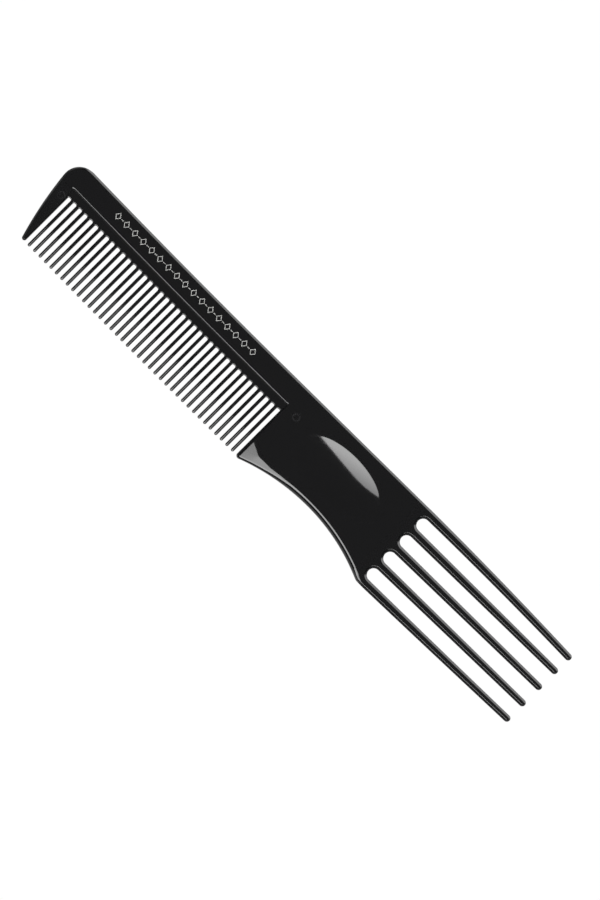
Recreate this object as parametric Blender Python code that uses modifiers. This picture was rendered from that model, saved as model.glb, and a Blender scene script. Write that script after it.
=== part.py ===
"""Double-ended styling comb: a row of fine teeth, a flat handle with thumb dishes, a five-prong fork.

The comb is one moulding.  Each named region of it (spine, end guard, teeth, handle, fork root,
prongs) is an object of its own, a small gap away from its neighbours.

Frame: +X runs from the end guard to the prong tips, +Y from the teeth to the spine, +Z out of
the front face.  The comb lies on its back, and the origin is at the middle of its underside.
"""
import math

import bmesh
import bpy

MM = 0.001
GAP = 0.3  # clearance between neighbouring regions
NEAR = 0.01  # closer than this counts as lying on a region's end
MERGE_DISTANCE = 0.001

# Overall
HALF_LENGTH = 100.0
HALF_THICKNESS = 1.9  # spine and handle

# Gentle bow that the spine, the tooth roots and the tooth tips share
BOW_RADIUS = 2960.0
BOW_LOWEST_X = -38.0
BOW_END_X = -12.0  # from here on the line is straight

# Spine
SPINE_EDGE_Y = 14.03
CORNER_RADIUS = 5.7
CORNER_X = -94.3
CORNER_Y = 8.9
TOP_START_X = -90.3  # from here the top edge follows the bow
SPINE_EDGE_ROUND = 1.0
STEP_Y = 7.17  # ledge between the thick bar and the thinner band above the teeth
BAND_HALF_THICKNESS = 1.45
STEP_START_X = -94.9
LEDGE_CUTTER_MARGIN = 1.0  # how far the ledge's cutter runs past the band

# Tooth row
TOOTH_COUNT = 38
FIRST_TOOTH_X = -92.8
TOOTH_PITCH = 2.225
ROOT_Y = 4.29
TIP_Y = -13.82
TOOTH_ROOT_WIDTH = 0.94
TOOTH_TIP_WIDTH = 0.84
TOOTH_BEND_Y = -5.0  # the thickness runs almost level down to here, then thins to the tip
TOOTH_ROOT_HALF = 1.4
TOOTH_BEND_HALF = 1.3
TOOTH_TIP_HALF = 0.55
TOOTH_EDGE_ROUND = 0.2

# End guard
GUARD_SIDE = ((-99.99, 8.2), (-98.72, -1.03), (-95.98, -12.4))  # three points on its outer arc
GUARD_INNER_X = -94.42
GUARD_TIP_RADIUS = 0.8
GUARD_TIP_Y = -13.35
GUARD_TIP_HALF = 1.0
GUARD_EDGE_ROUND = 0.5

# Handle
HANDLE_START_X = -8.85
HANDLE_END_X = 38.0
WAIST_X = 16.1  # the narrowest place
WAIST_Y = -9.37
WAIST_HEEL_RADIUS = 66.5  # arc from the waist to the heel
WAIST_FORK_RADIUS = 60.0  # arc from the waist to the fork
HEEL_RADIUS = 1.0
HANDLE_EDGE_ROUND = 0.8
HEEL_FACET_LINE = ((-8.85, -6.9), (0.5, -10.6))  # where the heel starts to thin
HEEL_FACET_SLOPE = math.radians(5.3)
HEEL_CUTTER_SIZE = 16.0  # half the side of the block that cuts the facet
DISH_CENTRE = (16.3, 3.0)
DISH_HALF_SIZE = (15.4, 7.2)
DISH_DEPTH = 0.8
DISH_BALL_HEIGHT = 4.0  # vertical half axis of the ellipsoid that hollows a dish

# Fork
PRONG_COUNT = 5
PRONG_PITCH = 6.66
SLOT_CENTRE_X = 43.2
SLOT_RADIUS = 1.96
PRONG_TIP_Y = (12.75, 7.22, 0.79, -5.77, -11.97)
PRONG_SIDE_BULGE = (0.23, 0.0, 0.0, 0.0, 0.0)  # sideways bow of a prong at half length
PRONG_ROOT_WIDTH = 2.74
PRONG_TIP_WIDTH = 1.8
PRONG_ROOT_HALF = 1.8
PRONG_TIP_HALF = 1.0
PRONG_EDGE_ROUND = 0.6
KINK_X = 40.7  # where the handle's lower arc meets the fork's straight side
KINK_REACH = 1.0  # how far the kink is rounded on each side
KINK_RISE = 0.08  # how far the rounding stays inside the corner

PLASTIC_COLOUR = (0.012, 0.012, 0.013, 1.0)
PLASTIC_ROUGHNESS = 0.12


def clear_scene():
    """Remove whatever the scene starts with."""
    for item in list(bpy.data.objects):
        bpy.data.objects.remove(item, do_unlink=True)


def new_collection(name):
    collection = bpy.data.collections.new(name)
    bpy.context.scene.collection.children.link(collection)
    return collection


def black_plastic(name):
    """Glossy black moulded plastic."""
    material = bpy.data.materials.new(name)
    material.use_nodes = True
    shader = material.node_tree.nodes["Principled BSDF"]
    shader.inputs["Base Color"].default_value = PLASTIC_COLOUR
    shader.inputs["Roughness"].default_value = PLASTIC_ROUGHNESS
    shader.inputs["Metallic"].default_value = 0.0
    return material


def bow(x):
    """Rise of the comb's line at x: a parabola, then a straight run at its end slope."""
    reach = min(x, BOW_END_X) - BOW_LOWEST_X
    rise = reach ** 2 / (2.0 * BOW_RADIUS)
    straight = max(x - BOW_END_X, 0.0)
    return rise + straight * reach / BOW_RADIUS


def along(start, end, count):
    """Evenly spaced values from start to end, both included."""
    return [start + (end - start) * i / (count - 1) for i in range(count)]


def bowed_line(level, start, end, count):
    """Points of a line that lies at a level and follows the comb's bow."""
    return [(x, level + bow(x)) for x in along(start, end, count)]


def arc(centre, radius, start, end, count):
    """Points of a circular arc between two angles in degrees."""
    points = []
    for degrees in along(start, end, count):
        angle = math.radians(degrees)
        points.append((centre[0] + radius * math.cos(angle), centre[1] + radius * math.sin(angle)))
    return points


def circle_through(a, b, c):
    """Centre and radius of the circle through three points."""
    d = 2.0 * (a[0] * (b[1] - c[1]) + b[0] * (c[1] - a[1]) + c[0] * (a[1] - b[1]))
    squares = [p[0] ** 2 + p[1] ** 2 for p in (a, b, c)]
    x = (squares[0] * (b[1] - c[1]) + squares[1] * (c[1] - a[1]) + squares[2] * (a[1] - b[1])) / d
    y = (squares[0] * (c[0] - b[0]) + squares[1] * (a[0] - c[0]) + squares[2] * (b[0] - a[0])) / d
    return (x, y), math.hypot(a[0] - x, a[1] - y)


def guard_side_x(y):
    """X of the end guard's outer arc at a height y."""
    centre, radius = circle_through(*GUARD_SIDE)
    return centre[0] - math.sqrt(radius ** 2 - (y - centre[1]) ** 2)


def waist_y(x):
    """Y of the handle's hollow lower edge at x: one arc on each side of the waist."""
    radius = WAIST_HEEL_RADIUS if x < WAIST_X else WAIST_FORK_RADIUS
    return WAIST_Y - radius + math.sqrt(radius ** 2 - (x - WAIST_X) ** 2)


def prong_root_y(number):
    """Y of a prong's middle at its root; prong 0 is the one on the spine's side."""
    return PRONG_PITCH * ((PRONG_COUNT - 1) / 2.0 - number)


def prism(name, outline, half_height, collection):
    """Upright solid of a flat outline: a filled 2D curve with an extrude, made a mesh."""
    curve = bpy.data.curves.new(name, "CURVE")
    curve.dimensions = "2D"
    curve.fill_mode = "BOTH"
    curve.extrude = half_height * MM
    spline = curve.splines.new("POLY")
    spline.points.add(len(outline) - 1)
    for point, (x, y) in zip(spline.points, outline):
        point.co = (x * MM, y * MM, 0.0, 1.0)
    spline.use_cyclic_u = True
    guide = bpy.data.objects.new(name + "_outline", curve)
    collection.objects.link(guide)
    depsgraph = bpy.context.evaluated_depsgraph_get()
    mesh = bpy.data.meshes.new_from_object(guide.evaluated_get(depsgraph))
    bpy.data.objects.remove(guide, do_unlink=True)
    bpy.data.curves.remove(curve)
    mesh.name = name
    shape = bmesh.new()
    shape.from_mesh(mesh)
    bmesh.ops.remove_doubles(shape, verts=shape.verts, dist=MERGE_DISTANCE * MM)
    caps = [face for face in shape.faces if abs(face.normal.z) > 0.5]
    bmesh.ops.dissolve_faces(shape, faces=caps)
    bmesh.ops.recalc_face_normals(shape, faces=shape.faces)
    shape.to_mesh(mesh)
    shape.free()
    solid = bpy.data.objects.new(name, mesh)
    collection.objects.link(solid)
    return solid


def slice_across(solid, y):
    """Add an edge loop round a solid at a height y."""
    shape = bmesh.new()
    shape.from_mesh(solid.data)
    everything = list(shape.verts) + list(shape.edges) + list(shape.faces)
    bmesh.ops.bisect_plane(shape, geom=everything, plane_co=(0.0, y * MM, 0.0), plane_no=(0.0, 1.0, 0.0))
    shape.to_mesh(solid.data)
    shape.free()


def set_half_thickness(solid, half_thickness):
    """Move both faces of a prism to the half thickness that a function gives at (x, y) in mm."""
    for vertex in solid.data.vertices:
        side = math.copysign(1.0, vertex.co.z)
        vertex.co.z = side * half_thickness(vertex.co.x / MM, vertex.co.y / MM) * MM


def round_rim(solid, width, is_rim):
    """Bevel the rims of both faces wherever the test on the rim edge's middle (mm) is true."""
    mesh = solid.data
    weights = mesh.attributes.new("bevel_weight_edge", "FLOAT", "EDGE")
    for edge in mesh.edges:
        a, b = (mesh.vertices[i].co for i in edge.vertices)
        same_face = a.z * b.z > 0.0
        middle = (a + b) / 2.0 / MM
        weights.data[edge.index].value = 1.0 if same_face and is_rim(middle.x, middle.y) else 0.0
    bevel = solid.modifiers.new("Rim", "BEVEL")
    bevel.limit_method = "WEIGHT"
    bevel.width = width * MM
    bevel.segments = 2
    bevel.use_clamp_overlap = False


def cut(solid, cutter):
    """Take a cutter's shape out of a solid."""
    cutter.hide_render = True
    cutter.display_type = "WIRE"
    boolean = solid.modifiers.new(cutter.name, "BOOLEAN")
    boolean.operation = "DIFFERENCE"
    boolean.solver = "EXACT"
    boolean.object = cutter


def finish(solid, parent, material, location=(0.0, 0.0), turn=0.0):
    """Place a region on the comb's middle plane and give it its plastic."""
    solid.parent = parent
    solid.location = (location[0] * MM, location[1] * MM, 0.0)
    solid.rotation_euler.z = turn
    solid.data.materials.append(material)


def ledge_cutter(side, parent, collection):
    """Block that thins the band above the teeth on the front (side 1) or the back (side -1)."""
    depth = HALF_THICKNESS - BAND_HALF_THICKNESS
    below = ROOT_Y - LEDGE_CUTTER_MARGIN
    end = HANDLE_START_X + LEDGE_CUTTER_MARGIN
    outline = bowed_line(STEP_Y, STEP_START_X, end, 14)
    outline += [(end, below), (STEP_START_X, below)]
    cutter = prism("ledge_cutter_front" if side > 0 else "ledge_cutter_back", outline, depth, collection)
    cutter.parent = parent
    cutter.location.z = side * HALF_THICKNESS * MM
    return cutter


def dish_cutter(side, parent, collection):
    """Flattened ball that hollows the thumb dish on the front (side 1) or the back (side -1)."""
    rise = DISH_BALL_HEIGHT - DISH_DEPTH
    spread = 1.0 / math.sqrt(1.0 - (rise / DISH_BALL_HEIGHT) ** 2)
    half_axes = (DISH_HALF_SIZE[0] * spread, DISH_HALF_SIZE[1] * spread, DISH_BALL_HEIGHT)
    name = "dish_cutter_front" if side > 0 else "dish_cutter_back"
    mesh = bpy.data.meshes.new(name)
    ball = bmesh.new()
    bmesh.ops.create_uvsphere(ball, u_segments=48, v_segments=40, radius=1.0)
    for vertex in ball.verts:
        vertex.co.x *= half_axes[0] * MM
        vertex.co.y *= half_axes[1] * MM
        vertex.co.z *= half_axes[2] * MM
    ball.to_mesh(mesh)
    ball.free()
    cutter = bpy.data.objects.new(name, mesh)
    collection.objects.link(cutter)
    cutter.parent = parent
    height = side * (HALF_THICKNESS + rise)
    cutter.location = (DISH_CENTRE[0] * MM, DISH_CENTRE[1] * MM, height * MM)
    return cutter


def heel_cutter(side, parent, collection):
    """Tilted block that thins the heel towards its tip on the front (side 1) or the back (side -1)."""
    (x0, y0), (x1, y1) = HEEL_FACET_LINE
    heading = math.atan2(y1 - y0, x1 - x0)
    size = HEEL_CUTTER_SIZE
    outline = [(-size, -size), (size, -size), (size, size), (-size, size)]
    name = "heel_cutter_front" if side > 0 else "heel_cutter_back"
    cutter = prism(name, outline, size / 2.0, collection)
    for vertex in cutter.data.vertices:
        vertex.co.z += side * size / 2.0 * MM
    cutter.parent = parent
    cutter.location = (x0 * MM, y0 * MM, side * HALF_THICKNESS * MM)
    cutter.rotation_euler = (side * HEEL_FACET_SLOPE, 0.0, heading)
    return cutter


def make_spine(parts, cutters, parent):
    """Bar with a rounded outer corner, a bowed edge and a ledge above the tooth roots."""
    end = HANDLE_START_X - GAP
    split = ROOT_Y + bow(-HALF_LENGTH)
    outline = [(guard_side_x(split), split)]
    outline += arc((CORNER_X, CORNER_Y), CORNER_RADIUS, 180.0, 90.0, 10)
    outline += bowed_line(SPINE_EDGE_Y, TOP_START_X, end, 14)
    outline += bowed_line(ROOT_Y, end, GUARD_INNER_X, 14)
    spine = prism("spine", outline, HALF_THICKNESS, parts)
    round_rim(spine, SPINE_EDGE_ROUND, lambda x, y: y > split + SPINE_EDGE_ROUND and x < end - NEAR)
    for side in (1, -1):
        cut(spine, ledge_cutter(side, parent, cutters))
    finish(spine, parent, black_plastic("spine_plastic"))


def make_end_guard(parts, parent):
    """Broad outer tooth that thins towards its rounded tip."""
    top = ROOT_Y + bow(-HALF_LENGTH) - GAP
    tip = (GUARD_INNER_X - GUARD_TIP_RADIUS, GUARD_TIP_Y + GUARD_TIP_RADIUS)
    outline = [(guard_side_x(y), y) for y in along(top, tip[1], 9)]
    outline += arc(tip, GUARD_TIP_RADIUS, 200.0, 360.0, 8)
    outline.append((GUARD_INNER_X, top))
    guard = prism("end_guard", outline, HALF_THICKNESS, parts)
    thinning = (HALF_THICKNESS - GUARD_TIP_HALF) / (top - GUARD_TIP_Y)
    set_half_thickness(guard, lambda x, y: HALF_THICKNESS - thinning * (top - y))
    round_rim(guard, GUARD_EDGE_ROUND, lambda x, y: y < top - NEAR)
    finish(guard, parent, black_plastic("guard_plastic"))


def make_teeth(parts, parent):
    """Row of slim teeth, level to a bend and then thinning to rounded tips."""
    length = ROOT_Y - TIP_Y
    root = TOOTH_ROOT_WIDTH / 2.0
    tip = TOOTH_TIP_WIDTH / 2.0
    outline = [(root, -GAP), (-root, -GAP)]
    outline += arc((0.0, tip - length), tip, 180.0, 360.0, 7)
    pattern = prism("tooth_01", outline, TOOTH_ROOT_HALF, parts)
    bend = TOOTH_BEND_Y - ROOT_Y
    slice_across(pattern, bend)

    def half_thickness(x, y):
        if y >= bend:
            return TOOTH_ROOT_HALF + (TOOTH_BEND_HALF - TOOTH_ROOT_HALF) * y / bend
        return TOOTH_BEND_HALF + (TOOTH_TIP_HALF - TOOTH_BEND_HALF) * (y - bend) / (-length - bend)

    set_half_thickness(pattern, half_thickness)
    # the loop across the bend has its middle at x = 0 and stays sharp
    round_rim(pattern, TOOTH_EDGE_ROUND, lambda x, y: y < -GAP - NEAR and abs(x) > NEAR)
    plastic = black_plastic("tooth_plastic")
    for i in range(TOOTH_COUNT):
        tooth = pattern
        if i > 0:
            tooth = pattern.copy()
            tooth.name = f"tooth_{i + 1:02d}"
            tooth.data = pattern.data.copy()
            tooth.data.materials.clear()
            parts.objects.link(tooth)
        x = FIRST_TOOTH_X + i * TOOTH_PITCH
        finish(tooth, parent, plastic, location=(x, ROOT_Y + bow(x)))


def make_handle(parts, cutters, parent):
    """Flat waisted plate with a heel beside the last tooth and a thumb dish in each face."""
    heel_x = HANDLE_START_X + HEEL_RADIUS
    arc_centre_y = WAIST_Y - WAIST_HEEL_RADIUS
    reach = WAIST_HEEL_RADIUS + HEEL_RADIUS
    heel = (heel_x, arc_centre_y + math.sqrt(reach ** 2 - (WAIST_X - heel_x) ** 2))
    contact = math.degrees(math.atan2(arc_centre_y - heel[1], WAIST_X - heel[0])) % 360.0
    top = SPINE_EDGE_Y + bow(HANDLE_START_X)
    outline = [(HANDLE_START_X, top)]
    outline += arc(heel, HEEL_RADIUS, 180.0, contact, 6)
    edge_start = heel[0] + HEEL_RADIUS * math.cos(math.radians(contact))
    outline += [(x, waist_y(x)) for x in along(edge_start, WAIST_X, 12)[1:]]
    outline += [(x, waist_y(x)) for x in along(WAIST_X, HANDLE_END_X, 12)[1:]]
    outline.append((HANDLE_END_X, SPINE_EDGE_Y + bow(HANDLE_END_X)))
    handle = prism("handle", outline, HALF_THICKNESS, parts)
    round_rim(handle, HANDLE_EDGE_ROUND, lambda x, y: HANDLE_START_X + NEAR < x < HANDLE_END_X - NEAR)
    for make_cutter in (heel_cutter, dish_cutter):
        for side in (1, -1):
            cut(handle, make_cutter(side, parent, cutters))
    finish(handle, parent, black_plastic("handle_plastic"))


def make_fork_root(parts, parent):
    """Web that carries the prongs, with a round slot end between each two of them."""
    start = HANDLE_END_X + GAP
    side_y = prong_root_y(0) + PRONG_ROOT_WIDTH / 2.0
    kink_start = KINK_X - KINK_REACH
    outline = [(start, waist_y(start)), (kink_start, waist_y(kink_start))]
    outline += [(KINK_X, KINK_RISE - side_y), (KINK_X + KINK_REACH, -side_y), (SLOT_CENTRE_X, -side_y)]
    for number in range(PRONG_COUNT - 1, 0, -1):
        centre = (SLOT_CENTRE_X, (prong_root_y(number) + prong_root_y(number - 1)) / 2.0)
        outline += arc(centre, SLOT_RADIUS, 270.0, 90.0, 15)
    outline += [(SLOT_CENTRE_X, side_y), (start, SPINE_EDGE_Y + bow(start))]
    root = prism("fork_root", outline, HALF_THICKNESS, parts)
    round_rim(root, PRONG_EDGE_ROUND, lambda x, y: start + NEAR < x < SLOT_CENTRE_X - NEAR)
    finish(root, parent, black_plastic("fork_plastic"))


def make_prongs(parts, parent):
    """Slim tapered prongs with rounded tips, drawn together a little towards the tips."""
    plastic = black_plastic("prong_plastic")
    start = SLOT_CENTRE_X + GAP
    for number in range(PRONG_COUNT):
        rise = PRONG_TIP_Y[number] - prong_root_y(number)
        tip_radius = PRONG_TIP_WIDTH / 2.0
        run = HALF_LENGTH - tip_radius - start
        length = math.hypot(run, rise)
        bulge = PRONG_SIDE_BULGE[number]
        stations = along(0.0, 1.0, 13 if bulge else 2)

        def side_point(t, side):
            width = PRONG_ROOT_WIDTH + (PRONG_TIP_WIDTH - PRONG_ROOT_WIDTH) * t
            return (length * t, side * width / 2.0 + bulge * 4.0 * t * (1.0 - t))

        outline = [side_point(t, -1.0) for t in stations]
        outline += arc((length, 0.0), tip_radius, -90.0, 90.0, 11)[1:-1]
        outline += [side_point(t, 1.0) for t in reversed(stations)]
        prong = prism(f"prong_{number + 1}", outline, PRONG_ROOT_HALF, parts)
        thinning = (PRONG_ROOT_HALF - PRONG_TIP_HALF) / (length + tip_radius)
        set_half_thickness(prong, lambda x, y: PRONG_ROOT_HALF - thinning * x)
        round_rim(prong, PRONG_EDGE_ROUND, lambda x, y: x > NEAR)
        finish(prong, parent, plastic, location=(start, prong_root_y(number)), turn=math.atan2(rise, run))


def main():
    clear_scene()
    parts = new_collection("styling_comb")
    cutters = new_collection("cutters")
    middle_plane = bpy.data.objects.new("comb_middle_plane", None)
    middle_plane.location.z = HALF_THICKNESS * MM
    parts.objects.link(middle_plane)
    make_spine(parts, cutters, middle_plane)
    make_end_guard(parts, middle_plane)
    make_teeth(parts, middle_plane)
    make_handle(parts, cutters, middle_plane)
    make_fork_root(parts, middle_plane)
    make_prongs(parts, middle_plane)
    bpy.context.view_layer.update()


main()
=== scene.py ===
import math

import bmesh
import bpy
import numpy as np
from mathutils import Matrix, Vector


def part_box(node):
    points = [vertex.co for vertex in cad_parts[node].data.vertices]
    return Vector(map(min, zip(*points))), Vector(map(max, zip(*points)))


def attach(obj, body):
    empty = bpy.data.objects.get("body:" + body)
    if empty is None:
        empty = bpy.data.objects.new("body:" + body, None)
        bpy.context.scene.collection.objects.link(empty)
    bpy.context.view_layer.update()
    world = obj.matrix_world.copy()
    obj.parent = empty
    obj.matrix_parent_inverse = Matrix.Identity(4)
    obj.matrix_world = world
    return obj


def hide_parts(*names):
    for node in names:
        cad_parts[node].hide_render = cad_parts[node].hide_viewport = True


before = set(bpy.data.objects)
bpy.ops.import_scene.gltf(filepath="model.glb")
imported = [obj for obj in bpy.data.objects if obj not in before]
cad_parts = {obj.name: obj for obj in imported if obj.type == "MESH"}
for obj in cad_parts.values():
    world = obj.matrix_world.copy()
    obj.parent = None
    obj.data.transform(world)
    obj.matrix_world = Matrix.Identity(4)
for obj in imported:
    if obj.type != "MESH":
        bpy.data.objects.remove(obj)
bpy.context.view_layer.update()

mm = 0.001  # every size below is in millimetres until it goes into a mesh


def nodeBox(name):
    low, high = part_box(name)
    return np.array(low) / mm, np.array(high) / mm


# what the frame gives
handleLow, handleHigh = nodeBox("handle")
toothNames = sorted(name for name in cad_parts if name.startswith("tooth_"))
prongNames = sorted(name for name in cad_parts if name.startswith("prong_"))
toothBoxes = np.array([np.concatenate(nodeBox(name)) for name in toothNames])
toothX = (toothBoxes[:, 0] + toothBoxes[:, 3]) / 2
middleZ = (handleLow[2] + handleHigh[2]) / 2
fullHalf = (handleHigh[2] - handleLow[2]) / 2
handleStartX = handleLow[0]
handleEndX = handleHigh[0]
tipX = nodeBox(prongNames[-1])[1][0]
print("frame read:", len(toothNames), "teeth,", len(prongNames), "prongs")

farAway = 50.0  # stands for a distance at which an edge has no effect


# the gentle bow that the spine, the tooth roots and the tooth tips share
combLine = {"bowRadius": 2960.0, "lowestX": -38.0, "straightFromX": -12.0}


# rise of the comb's line: a parabola about its lowest point, then straight on at its end slope
def bow(x):
    reach = np.minimum(x, combLine["straightFromX"]) - combLine["lowestX"]
    straight = np.maximum(x - combLine["straightFromX"], 0.0)
    return reach ** 2 / (2 * combLine["bowRadius"]) + straight * reach / combLine["bowRadius"]


# 0 below a, 1 above b, and a smooth cubic between
def smoothStep(value, a, b):
    t = np.clip((value - a) / (b - a), 0.0, 1.0)
    return t * t * (3 - 2 * t)


# the value itself where it is positive and 0 where it is negative, with the bend rounded off
def softRamp(value, softness):
    return (value + np.sqrt(value ** 2 + softness ** 2)) / 2


# a moulded edge: a wall with a little draft, then either an elliptic round or a bevel up to the face
edge = {"draft": 0.03, "roundSteps": 9, "bevelSlope": 41.0, "bevelEase": 0.26}


# distances in from an edge: the drafted wall, then even turns of the round
def edgeSteps(width, steps=None):
    turns = np.linspace(0.0, math.pi / 2, steps or edge["roundSteps"])
    return np.concatenate([[0.0], edge["draft"] + width * (1 - np.cos(turns))])


# positions from start to end, crowded as given at each end, with even steps between
def crowded(start, end, step, nearStart, nearEnd):
    low, high = start + nearStart, end - nearEnd[::-1]
    count = max(int(round((high[0] - low[-1]) / step)), 1)
    return np.concatenate([low, np.linspace(low[-1], high[0], count + 1)[1:-1], high])


# half thickness near an edge: 0 on the parting line, up the drafted wall, then a quarter ellipse to the
# face, round where the plate is thick enough and flattened where it isn't
def rimHalf(distance, full, width, drop=None):
    drop = np.minimum(width if drop is None else drop, 0.9 * full)
    wall = np.clip(distance / edge["draft"], 0.0, 1.0)
    inward = 1 - np.clip((distance - edge["draft"]) / width, 0.0, 1.0)
    return (full - drop) * wall + drop * np.sqrt(np.clip(1 - inward ** 2, 0.0, 1.0))


# half thickness near a bevelled edge: the drafted wall, a straight slope, then an arc that eases it
# into the face
def bevelHalf(distance, full, width):
    slope = math.radians(edge["bevelSlope"])
    ease = edge["bevelEase"]
    height = width * math.tan(slope) + ease * (1 - math.cos(slope))
    inside = np.maximum(distance - edge["draft"], 0.0)
    turn = np.arcsin(np.clip(math.sin(slope) - (inside - width) / ease, 0.0, math.sin(slope)))
    down = np.where(inside < width, height - inside * math.tan(slope), ease * (1 - np.cos(turn)))
    return np.where(distance < edge["draft"], (full - height) * distance / edge["draft"], full - down)


# distances in from a bevelled edge: the wall, the slope and even turns of its easing arc; for a line of
# widths it gives one column each
def bevelSteps(width):
    slope = math.radians(edge["bevelSlope"])
    arc = edge["bevelEase"] * (math.sin(slope) - np.sin(np.linspace(slope, 0.0, 10)))
    fixed = np.concatenate([[0.0], edge["draft"] + np.concatenate([[0.0, 0.0], arc])])
    share = np.concatenate([[0.0, 0.0, 0.5], np.ones(len(arc))])
    return (np.outer(share, width) + fixed[:, None]).squeeze()


# rows of a strip: those that follow its lower side, even steps between, those that follow its upper side
def rowsBetween(lowRows, highRows, count):
    steps = np.linspace(0.0, 1.0, count + 2)[1:-1, None]
    return np.concatenate([lowRows, lowRows[-1] + (highRows[0] - lowRows[-1]) * steps, highRows])


# faces of a grid of points, as quads of corner numbers
def gridQuads(rows, cols):
    numbers = np.arange(rows * cols).reshape(rows, cols)
    corners = [numbers[:-1, :-1], numbers[:-1, 1:], numbers[1:, 1:], numbers[1:, :-1]]
    return np.stack(corners, -1).reshape(-1, 4)


# a band of quads between a line of corners on the front and the same line on the back
def wallQuads(front, back):
    return np.stack([front[:-1], front[1:], back[1:], back[:-1]], -1)


weld = {
    "distance": 0.0002 * mm,
    "sliver": 0.0001 * mm,
    "sharpAngle": 40.0,      # degrees from which two faces meet at a sharp edge
}


# a plate: both faces stand the half thickness above and below the middle plane on a grid of (x, y),
# with rows going up y and columns going along x, and a wall along each cut side
def plateMesh(name, sheets, material):
    points, quads, distances, base = [], [], [], 0
    for x, y, half, distance, cutSides in sheets:
        rows, cols = x.shape
        count = rows * cols
        front = np.stack([x, y, middleZ + half], -1).reshape(-1, 3)
        back = np.stack([x, y, middleZ - half], -1).reshape(-1, 3)
        points += [front, back]
        distances += [distance.ravel(), distance.ravel()]
        faces = gridQuads(rows, cols)
        quads += [faces + base, faces[:, ::-1] + base + count]
        numbers = np.arange(count).reshape(rows, cols) + base
        sides = {
            "left": numbers[:, 0],
            "right": numbers[::-1, -1],
            "bottom": numbers[0, ::-1],
            "top": numbers[-1, :],
        }
        for side in cutSides:
            quads.append(wallQuads(sides[side], sides[side] + count))
        base += 2 * count
    mesh = bpy.data.meshes.new(name)
    mesh.from_pydata((np.concatenate(points) * mm).tolist(), [], np.concatenate(quads).tolist())
    layer = mesh.attributes.new("edgeDistance", "FLOAT", "POINT")
    layer.data.foreach_set("value", np.concatenate(distances).astype(np.float32))
    shape = bmesh.new()
    shape.from_mesh(mesh)
    bmesh.ops.remove_doubles(shape, verts=shape.verts, dist=weld["distance"])
    bmesh.ops.dissolve_degenerate(shape, edges=shape.edges, dist=weld["sliver"])
    openEdges = sum(len(e.link_faces) != 2 for e in shape.edges)
    shape.to_mesh(mesh)
    volume = shape.calc_volume() / mm ** 3
    print(f"  {name}: {len(shape.faces)} faces, {openEdges} open edges, volume {volume:.1f} mm3")
    shape.free()
    mesh.shade_smooth()
    mesh.set_sharp_from_angle(angle=math.radians(weld["sharpAngle"]))
    mesh.materials.append(material)
    piece = bpy.data.objects.new(name, mesh)
    bpy.context.scene.collection.objects.link(piece)
    return piece


def settle(piece, *nodes):
    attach(piece, "root")
    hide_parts(*nodes)


spine = {
    "edgeLevel": 14.12,      # top edge, measured from the comb's bowed line
    "cornerRadius": 5.7,
    "sideRadius": 111.0,     # the guard's long outer arc, which runs on from the corner
    "sideTurn": 5.46,        # degrees past level where the corner turns into that arc
    "ledgeLevel": 6.8,       # foot of the step from the tooth band up to the thick bar
    "ledgeSlope": 60.0,      # the step rises at this slope, then an arc eases it into the bar's face
    "ledgeEase": 0.37,
    "bandHalf": 1.45,        # half thickness of the band under the ledge
    "bevel": 0.6,
    "usualLength": 100.0,    # the columns' distances from the edge are true at this length
}

cornerX = nodeBox("spine")[0][0] + spine["cornerRadius"]
cornerLevel = spine["edgeLevel"] - spine["cornerRadius"]
sideTurn = math.radians(180 + spine["sideTurn"])
sideX = cornerX - (spine["sideRadius"] - spine["cornerRadius"]) * math.cos(sideTurn)
sideLevel = cornerLevel - (spine["sideRadius"] - spine["cornerRadius"]) * math.sin(sideTurn)
sideStart = cornerLevel + spine["cornerRadius"] * math.sin(sideTurn)

ledgeTurn = math.radians(spine["ledgeSlope"])
ledgeHeight = fullHalf - spine["bandHalf"]
ledgeRun = (ledgeHeight - spine["ledgeEase"] * (1 - math.cos(ledgeTurn))) / math.tan(ledgeTurn)

# rows that follow the step up from its foot
easeTurns = np.linspace(ledgeTurn, 0.0, 12)
ledgeSteps = np.concatenate([
    [0.0, 0.5 * ledgeRun], ledgeRun + spine["ledgeEase"] * (math.sin(ledgeTurn) - np.sin(easeTurns)),
])


# x of the comb's left outline at a level: the corner's arc, then the guard's long arc
def leftOutline(level):
    up = np.clip(level - cornerLevel, -spine["cornerRadius"], spine["cornerRadius"])
    corner = cornerX - np.sqrt(spine["cornerRadius"] ** 2 - up ** 2)
    side = sideX - np.sqrt(spine["sideRadius"] ** 2 - (level - sideLevel) ** 2)
    return np.where(level > sideStart, corner, side)


# distance in from the left and top outline: its two arcs, then the straight top edge
def outerDistance(x, level):
    fromCorner = spine["cornerRadius"] - np.hypot(x - cornerX, level - cornerLevel)
    fromSide = spine["sideRadius"] - np.hypot(x - sideX, level - sideLevel)
    fromTop = spine["edgeLevel"] - level
    atCorner = np.where(x < cornerX, fromCorner, fromTop)
    return np.where(level > sideStart, np.minimum(atCorner, fromTop), np.minimum(fromSide, fromTop))


# how far the face has stepped down at the ledge: 1 over the tooth band, 0 on the bar, with a straight
# slope and an arc between
def ledgeShare(x, level):
    ease = spine["ledgeEase"]
    up = np.maximum(level - spine["ledgeLevel"], 0.0)
    turn = np.arcsin(np.clip(math.sin(ledgeTurn) - (up - ledgeRun) / ease, 0.0, math.sin(ledgeTurn)))
    left = np.where(up < ledgeRun, ledgeHeight - up * math.tan(ledgeTurn), ease * (1 - np.cos(turn)))
    fromLeft = smoothStep(x, guard["innerX"] - 0.7, guard["innerX"] - 0.3)
    toRight = 1 - smoothStep(x, handleStartX + 0.2, handleStartX + 0.6)
    return left / ledgeHeight * fromLeft * toRight


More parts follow.
